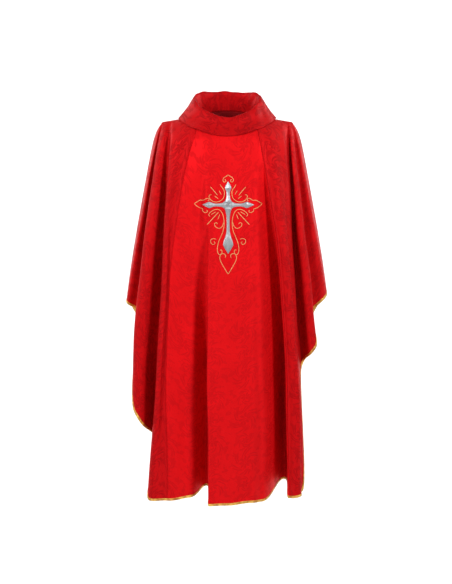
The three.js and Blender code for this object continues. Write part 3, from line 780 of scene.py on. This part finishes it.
def seam_topstitch(cloth, seam, material):
    """The line of stitches that holds the side panel's lapped edge down."""
    column = cloth.column_of[seam]
    name, direction = {"seam_left": ("left_panel", -1), "seam_right": ("right_panel", 1)}[seam]
    first, last = sorted((column, column + direction * 40))
    lift = lap(cloth, first, last, name)
    points = cloth.block(first, last, lift + 0.1)
    away = np.abs(cloth.across[:, first:last + 1] - cloth.across[:, column][:, None])
    normals = cloth.normals[:, first:last + 1]
    line, up = [], []
    for i in range(4, BODY_ROWS - 1):
        order = np.argsort(away[i])
        reach = away[i][order]
        line.append(sample(STITCH_INSET, reach, points[i, order]))
        up.append(sample(STITCH_INSET, reach, normals[i, order]))
    return stitches(f"{cloth.side}_{seam}_topstitch", np.array(line), np.array(up), material, 2.8, 0.45)


# ---------- inside: allowances, facings and tapes ----------

def inside_strip(cloth, name, node, column, reach, material):
    """A strip of cloth on the wrong side, from reach[0] to reach[1] to the right of a column."""
    across = 7
    gap = 0.5
    offsets = np.linspace(*reach, across)
    part = range(max(column - 30, 0), min(column + 31, cloth.points.shape[1]))
    outer, inner, uv = [], [], []
    for i in range(3, BODY_ROWS - 1):
        away = cloth.across[i, part] - cloth.across[i, column]
        point = sample(offsets, away, cloth.points[i, part])
        normal = sample(offsets, away, cloth.normals[i, part])
        outer.append(point - normal * (CLOTH + gap))
        inner.append(point - normal * (CLOTH + gap + INSIDE_CLOTH))
        uv.append(np.stack([offsets, np.full(across, -cloth.down[i, column])], 1) * MM)
    made = shell(name, outer, inner, material, uv)
    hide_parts(node)


def allowances(cloth, material):
    """The pressed-open allowances behind the panel seams, and the turned-in ones along the arms."""
    strips = (
        ("allowance_left", "seam_allowance_left", "seam_left", (-9, 9)),
        ("allowance_right", "seam_allowance_right", "seam_right", (-9, 9)),
        ("arm_edge_left", "arm_allowance_left", "arm_left", (0.5, 11)),
        ("arm_edge_right", "arm_allowance_right", "arm_right", (-11, -0.5)),
    )
    side = cloth.side
    for name, node, line, reach in strips:
        inside_strip(cloth, f"{side}_{name}", f"{side}_{node}", cloth.column_of[line], reach, material)


def neck_facing(cloth, material):
    """A facing that follows the neckline inside, 45 mm deep."""
    first, last = cloth.column_of["seam_left"], cloth.column_of["seam_right"]
    deep = int(np.searchsorted(cloth.down[:, (first + last) // 2], 45))
    part = slice(first + 1, last)
    rows = slice(0, deep + 1)
    gap = CLOTH + 1.6
    outer = cloth.points[rows, part] - cloth.normals[rows, part] * gap
    inner = cloth.points[rows, part] - cloth.normals[rows, part] * (gap + INSIDE_CLOTH)
    uv = np.stack([cloth.across[rows, part], -cloth.down[rows, part]], -1) * MM
    made = shell(f"{cloth.side}_facing", outer, inner, material, uv)
    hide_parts(f"{cloth.side}_neck_facing")


def shoulder_tape(word, direction, material):
    """The tape under a shoulder seam, which droops a little to both sides of it."""
    neck_end, arm_end = 97, 186
    below, droop, thickness = 1.2, 0.45, 0.9
    across = 5
    offsets = np.linspace(-7, 7, across)
    outer, inner, uv = [], [], []
    for x in np.linspace(neck_end, arm_end, 24):
        z = ridge_z(np.array(x), "front") - CLOTH - below - np.abs(offsets) * droop
        outer.append(np.stack([np.full(across, direction * x), offsets, z], 1))
        inner.append(np.stack([np.full(across, direction * x), offsets, z - thickness], 1))
        uv.append(np.stack([offsets, np.full(across, x)], 1) * MM)
    made = shell(f"tape_{word}", outer, inner, material, uv)
    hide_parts(f"shoulder_tape_{word}")


# ---------- the collar ----------

COLLAR_THICK = 4.2
COLLAR_ROLL = 8.5                  # radius of the roll at the top
COLLAR_RIM = (110.0, -13.0, 71.0)  # half width, y of the middle, half depth
COLLAR_RIM_Z = (46.0, 39.0, 23.0)  # z of the middle, dip to the front, rise at the sides
COLLAR_EDGE_X = 163.0              # where the collar's lower edge meets the shoulder
COLLAR_DROP = {"front": 106.0, "back": 80.0}  # how far down the body it reaches
COLLAR_LIFT = 7.4                  # how far it stands off the body there
COLLAR_STITCH = 7.0                # from the edge to its line of stitches
COLLAR_ROWS = 74


def body_point(side, x, drop, lift):
    """A point of the unfolded body, at a drop along the cloth from the shoulder line, lifted off it."""
    z, rise = over_shoulder(ridge_z(x, side), drop)
    y = SIGN[side] * form_depth(x, z, rise, side)
    up = math.sqrt(1 - rise * rise)
    return np.array([x, y + SIGN[side] * rise * lift, z + up * lift], float)


def catmull_rom(points, count):
    """A smooth open curve through the points, evenly spaced along its length."""
    points = np.asarray(points, float)
    padded = np.concatenate([2 * points[:1] - points[1:2], points, 2 * points[-1:] - points[-2:-1]])
    t = np.arange(16)[:, None] / 16
    dense = []
    for a, b, c, d in zip(padded, padded[1:], padded[2:], padded[3:]):
        dense.append(0.5 * (2 * b + (c - a) * t + (2 * a - 5 * b + 4 * c - d) * t**2
                            + (3 * b - a - 3 * c + d) * t**3))
    dense = np.concatenate(dense + [points[-1:]])
    along = running_length(dense)
    return sample(np.linspace(0, along[-1], count), along, dense)


def collar_section(angle):
    """The collar's outer line at an angle round the neck: up from the neck seam, over the roll, down."""
    to_front, to_side = math.cos(angle), math.sin(angle)
    side = "front" if to_front >= 0 else "back"
    radial = np.array([to_side, -to_front, 0])
    down = np.array([0, 0, -1.0])
    neck_x = NECK_SIDE[0] * to_side * 0.955
    neckline = body_point(side, neck_x, drop_at_top(neck_x, side), 0) - radial * 8
    half_width, middle_y, half_depth = COLLAR_RIM
    middle_z, dip, rise = COLLAR_RIM_Z
    rim = np.array([half_width * to_side, middle_y - half_depth * to_front,
                    middle_z - dip * to_front + rise * to_side ** 2])
    rim = rim + down * (1.6 * math.sin(3 * angle + 0.6) + 1.1 * math.sin(7 * angle + 1.9))
    lift = COLLAR_LIFT - 1.6 * to_side**4 + 0.5 * math.sin(5 * angle + 1)
    edge = body_point(side, COLLAR_EDGE_X * to_side, COLLAR_DROP[side] * abs(to_front), lift)
    inner_roll = rim - radial * COLLAR_ROLL + down * (COLLAR_ROLL + 2)
    outer_roll = rim + radial * COLLAR_ROLL * 0.9 + down * (COLLAR_ROLL + 1)
    swell = 1.5 * math.sin(4 * angle + 0.8) + 1.2 * math.sin(9 * angle)
    rising = neckline * 0.5 + inner_roll * 0.5 - radial * 1.5
    falling = outer_roll * 0.55 + edge * 0.45 - radial * (3.0 - swell) + down * 1.5
    line = [neckline, rising, inner_roll, rim, outer_roll, falling, edge + down * 0.6]
    return catmull_rom(line, COLLAR_ROWS)


def collar(material):
    """The rolled collar as one soft closed body, and the line and normals of its edge stitching."""
    angles = np.linspace(-math.pi, math.pi, 260, endpoint=False)
    lines = np.array([collar_section(angle) for angle in angles])
    across = np.roll(lines, -1, 0) - np.roll(lines, 1, 0)
    normals = unit(np.cross(across, np.gradient(lines, axis=1)))
    girth = np.concatenate([[0], np.cumsum(np.linalg.norm(np.diff(lines, axis=1), axis=2).mean(0))])
    crease = np.sin(angles * 9 + 0.5)[:, None] * np.sin(girth / 15.0 + 2 * angles[:, None])
    crease += np.sin(angles[:, None] * 17 + girth[None] / 19.0) * 0.45
    lines = lines - normals * crease[..., None]
    stitched = np.exp(-((girth[-1] - girth - COLLAR_STITCH) / 1.4) ** 2)[None, :, None]
    lines = lines + normals * stitched * 0.55
    under = lines + normals * (COLLAR_THICK - stitched)
    face_end, under_end = lines[:, -1], under[:, -1]
    ends = np.stack([face_end * 0.75 + under_end * 0.25, face_end * 0.25 + under_end * 0.75], 1)
    ends = ends + 1.6 * unit(face_end - lines[:, -2])[:, None]
    sections = np.concatenate([lines, ends, under[:, ::-1]], 1)
    round_neck = running_length(lines[:, 40])
    v = np.concatenate([girth, [girth[-1] + 1, girth[-1] + 2], girth[-1] + 3 + girth])
    uvs = np.stack([np.broadcast_to(round_neck[:, None], sections.shape[:2]),
                    np.broadcast_to(-v[None], sections.shape[:2])], -1) * MM
    made = tube("rolled_collar", sections, material, uvs, ring=True)
    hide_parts("collar_upper", "collar_interlining", "collar_under")

    def at_stitches(grid):
        where = girth[-1] - COLLAR_STITCH
        line = np.array([sample(where, girth, row) for row in grid])
        return np.concatenate([line, line[:1]])

    return at_stitches(lines), -at_stitches(normals)


# ---------- the embroidery ----------

class Chest:
    """The front of the cloth, for patterns in millimetres from the middle of the cross."""

    def __init__(self, points):
        self.tree = cloth_tree(points)

    def at(self, x, y, lift):
        """The point of the cloth behind x and y, lifted off it."""
        start = Vector((CROSS[0] + x, -1000, CROSS[1] + y))
        found, facing, _, _ = self.tree.ray_cast(start, Vector((0, 1, 0)))
        facing = np.array(facing)
        if facing[1] > 0:
            facing = -facing
        return np.array(found) + facing * lift


# the arms of the cross: distance from its middle and half width there, in millimetres
CROSS_ARMS = {
    "upper": [(0, 0), (11, 11), (19, 7.4), (33, 5.2), (44, 6.6), (54, 10.8), (60, 9.4), (76, 0.25)],
    "side": [(0, 0), (11, 11), (20, 6.6), (38, 4.6), (50, 6.6), (60, 10.2), (66, 8.6), (85, 0.25)],
    "lower": [(0, 0), (11, 11), (21, 8.4), (41, 5.2), (78, 5.2), (96, 7.6), (114, 13.5), (127, 16.8),
              (135, 14.2), (158, 0.25)],
}
EMBROIDERY_FOOT = 0.12             # the underside of a silver arm stands this far off the cloth


def cross_arm(chest, word, kind, quarter_turns, material):
    """One arm in satin stitch: two slopes up to a ridge, ending in a lobe with a point."""
    angle = quarter_turns * math.pi / 2
    along = np.array([math.cos(angle), math.sin(angle)])
    sideways = np.array([-along[1], along[0]])
    outline = catmull_rom(CROSS_ARMS[kind], 200)
    first, length = 0.6, CROSS_ARMS[kind][-1][0]
    edge = 0.45
    count = int(length / 1.6)
    top, bottom, uv = [], [], []
    for i in range(count + 1):
        t = first + (length - first) * i / count
        half = np.interp(t, outline[:, 0], outline[:, 1])
        peak = 0.7 + 3.6 * min(half / 9.0, 1.25)
        row_top, row_bottom, row_uv = [], [], []
        for share in np.linspace(-1, 1, 13):
            spot = along * t + sideways * half * share
            height = edge + (peak - edge) * (1 - abs(share)) ** 0.85
            row_top.append(chest.at(*spot, height))
            row_bottom.append(chest.at(*spot, EMBROIDERY_FOOT))
            slant = t - abs(share) * half * 0.55
            row_uv.append((slant * MM, share * half * MM))
        top.append(row_top)
        bottom.append(row_bottom)
        uv.append(row_uv)
    made = shell(f"cross_{word}", top, bottom, material, uv)
    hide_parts(f"silver_arm_{word}")
    return made


def couched_cord(chest, name, nodes, width, points, material):
    """A couched cord: a rounded ribbon along a smooth line, narrowing at its two ends."""
    height, bead, taper_over = 1.1, 0.10, 3
    count = max(8, int(running_length(np.array(points, float))[-1] / 1.5))
    line = catmull_rom(points, count)
    tangents = unit(np.gradient(line, axis=0))
    along = running_length(line)
    sections, uvs = [], []
    turns = np.linspace(0, 2 * math.pi, 8, endpoint=False)
    for spot, tangent, length in zip(line, tangents, along):
        sideways = np.array([-tangent[1], tangent[0]])
        taper = min(1.0, 0.35 + length / taper_over, 0.35 + (along[-1] - length) / taper_over)
        beat = 1 + bead * math.sin(length * 2.6)
        section = []
        for turn in turns:
            across = math.cos(turn) * width / 2 * taper * beat
            lift = 0.1 + height * 0.5 * taper * beat * (1 + math.sin(turn))
            section.append(chest.at(*(spot + sideways * across), lift))
        sections.append(section)
        uvs.append([((length + math.cos(turn) * 0.8) * MM, turn * MM) for turn in turns])
    made = tube(name, sections, material, uvs)
    if nodes:
        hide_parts(*nodes)


# The gold cords of the right half, which the left half mirrors: name, the CAD nodes each stands for,
# width, and the points it passes, in millimetres from the middle of the cross. {} is left or right.
CORDS = (
    ("cap_upper_{}", ["gold_cap_upper"], 2.0,
     [(0, 97), (6, 92), (14, 87), (17, 79), (13, 73.5), (8, 76), (9, 81.5), (12, 80)]),
    ("cap_{}_high", ["gold_cap_{}"], 2.0,
     [(111, 2), (101, 8), (91, 14), (80, 14.5), (73, 19), (65, 21), (62, 15), (67, 12.5)]),
    ("cap_{}_low", [], 2.0,
     [(111, 2), (103, -5), (93, -11), (84, -13), (82, -21), (73, -25), (67, -21), (70, -17)]),
    ("arc_upper_{}", ["gold_arc_upper_{}"], 2.0,
     [(26, 66), (21, 58), (14, 48), (12, 36), (16, 22), (27, 12.5), (40, 9.5), (52, 13), (61, 22),
      (61, 31), (54, 33)]),
    ("ray_upper_{}_long", ["gold_ray_upper_{}_low"], 1.9, [(34, 31), (57, 58)]),
    ("ray_upper_{}_high", ["gold_ray_upper_{}_high"], 1.9, [(22, 33), (29, 46)]),
    ("ray_upper_{}_side", [], 1.9, [(32, 20), (44, 29)]),
    ("scroll_{}", ["gold_scroll_{}", "gold_arc_lower_{}"], 2.0,
     [(58, -37), (63, -33), (60, -26), (50, -18), (38, -14), (28, -16), (20, -25), (15, -40), (13, -58),
      (15, -78), (21, -96), (29, -114), (34, -132), (35, -148), (31, -159), (24, -160), (20, -153),
      (22, -145), (27, -147)]),
    ("ray_lower_{}_long", ["gold_ray_lower_{}_low"], 2.2, [(31, -23), (69, -64)]),
    ("ray_lower_{}_side", ["gold_ray_lower_{}_high"], 1.9, [(40, -22), (55, -31)]),
    ("ray_lower_{}_down", [], 1.9, [(27, -30), (33, -46)]),
    ("branch_{}", [], 2.0,
     [(15, -56), (18, -66), (26, -75), (35, -74), (43, -68), (44, -60), (38, -57), (34, -62)]),
    ("curl_{}", [], 1.8,
     [(39, -111), (47, -108.5), (56, -113), (56, -123), (49, -128), (43, -124), (46, -118)]),
    ("heart_{}", ["gold_point_{}"], 2.0,
     [(10, -171), (8, -164), (12, -158.5), (21, -158), (27, -167), (26, -178), (19, -193),
      (0.4, -224)]),
)


def embroidery(chest, silver, gold):
    cross_arm(chest, "upper", "upper", 1, silver)
    cross_arm(chest, "left", "side", 2, silver)
    cross_arm(chest, "right", "side", 0, silver)
    lower = cross_arm(chest, "lower", "lower", 3, silver)
    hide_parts("silver_cross_boss")
    for word, way in (("left", -1), ("right", 1)):
        for name, nodes, width, points in CORDS:
            nodes = [node.format(word) for node in nodes]
            points = [(way * x, y) for x, y in points]
            couched_cord(chest, name.format(word), nodes, width, points, gold)


# ---------- the whole garment ----------


# how bright the red of each part is painted: the side panels and the collar get darker copies of the one
# red, painted shade for the shade they sit in; how strongly the figure stands out, also set part by part
# for how the light falls there; and how metallic the satin's gloss is
LOOK_AND_PAINTED_SHADE = {
    "centre": (1.0, 0.5, 0.16),
    "side": (0.78, 0.8, 0.12),
    "collar": (0.68, 0.9, 0.10),
}


def garment():
    # the darker reds of the side panels and the collar are painted shade
    reds = {name: damask(f"red_damask_{name}", *look_and_shade) for name, look_and_shade in LOOK_AND_PAINTED_SHADE.items()}
    inside = wrong_side()
    satin = satin_binding()
    silver = thread("silver_thread", (0.20, 0.21, 0.23), (0.56, 0.58, 0.61), 0.36, 0.5)
    gold = thread("gold_thread", (0.60, 0.24, 0.07), (0.92, 0.52, 0.22), 0.4, 0.35)
    sewing = thread("red_sewing_thread", (0.50, 0.002, 0.005), (0.75, 0.004, 0.008), 0.6, 0.0)
    for side in ("front", "back"):
        cloth = Cloth(side)
        panels = {}
        for name in EDGES:
            red = reds["centre" if name == "centre_panel" else "side"]
            panels[name], outer = panel(cloth, name, red)
            if side == "front" and name == "centre_panel":
                chest = Chest(outer)
        hem_binding(cloth, satin, gold)
        for seam in ("seam_left", "seam_right"):
            seam_topstitch(cloth, seam, sewing)
        allowances(cloth, inside)
        neck_facing(cloth, inside)
    shoulder_tape("left", -1, inside)
    shoulder_tape("right", 1, inside)
    line, up = collar(reds["collar"])
    stitches("collar_topstitch", line, up, sewing, 2.8, 0.45)
    embroidery(chest, silver, gold)


camera()
studio_floor()
lights()
garment()
